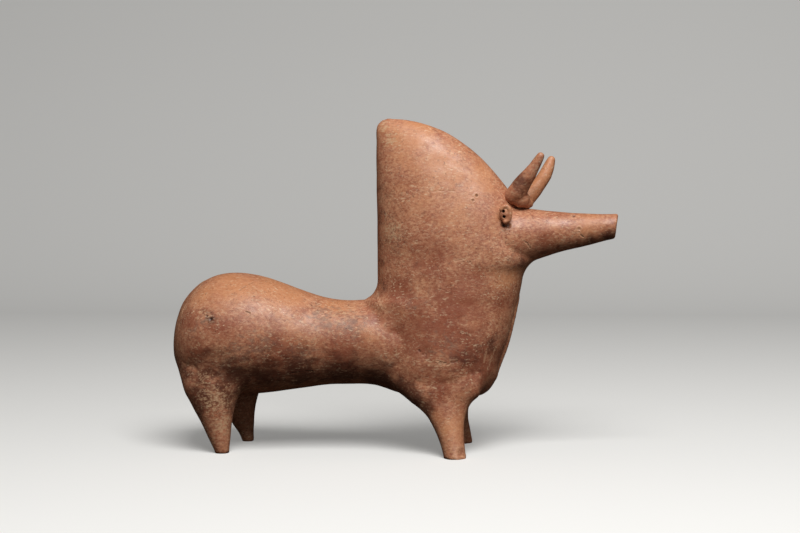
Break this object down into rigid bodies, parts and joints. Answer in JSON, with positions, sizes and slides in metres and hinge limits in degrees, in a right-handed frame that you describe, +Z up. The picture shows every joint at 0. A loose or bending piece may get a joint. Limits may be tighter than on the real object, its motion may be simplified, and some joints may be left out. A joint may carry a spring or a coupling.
{
  "type": "zebu shaped pouring vessel",
  "caption": "Hollow burnished terracotta vessel in the form of a humped bull, pouring through its drawn-out muzzle.",
  "frame": {"origin": "on the surface that the feet stand on, under the middle of the object's length and width", "axes": "+X towards the muzzle, +Y to the animal's left, +Z up"},
  "size_m": [0.326, 0.088, 0.2404],
  "materials": {
    "barrel_clay": "burnished satin",
    "hump_clay": "burnished satin",
    "head_clay": "burnished satin",
    "horn_clay": "burnished, fire clouded",
    "ear_clay": "worn satin",
    "leg_clay": "worn satin"
  },
  "bodies": {
    "root": {"barrel": "barrel_clay", "chest_and_hump": "hump_clay", "head_spout": "head_clay", "left_horn": "horn_clay", "right_horn": "horn_clay", "left_ear": "ear_clay", "right_ear": "ear_clay", "front_left_leg": "leg_clay", "front_right_leg": "leg_clay", "rear_left_leg": "leg_clay", "rear_right_leg": "leg_clay", "tail_ridge": "barrel_clay", "dewlap_ridge": "hump_clay"}
  },
  "joints": []
}
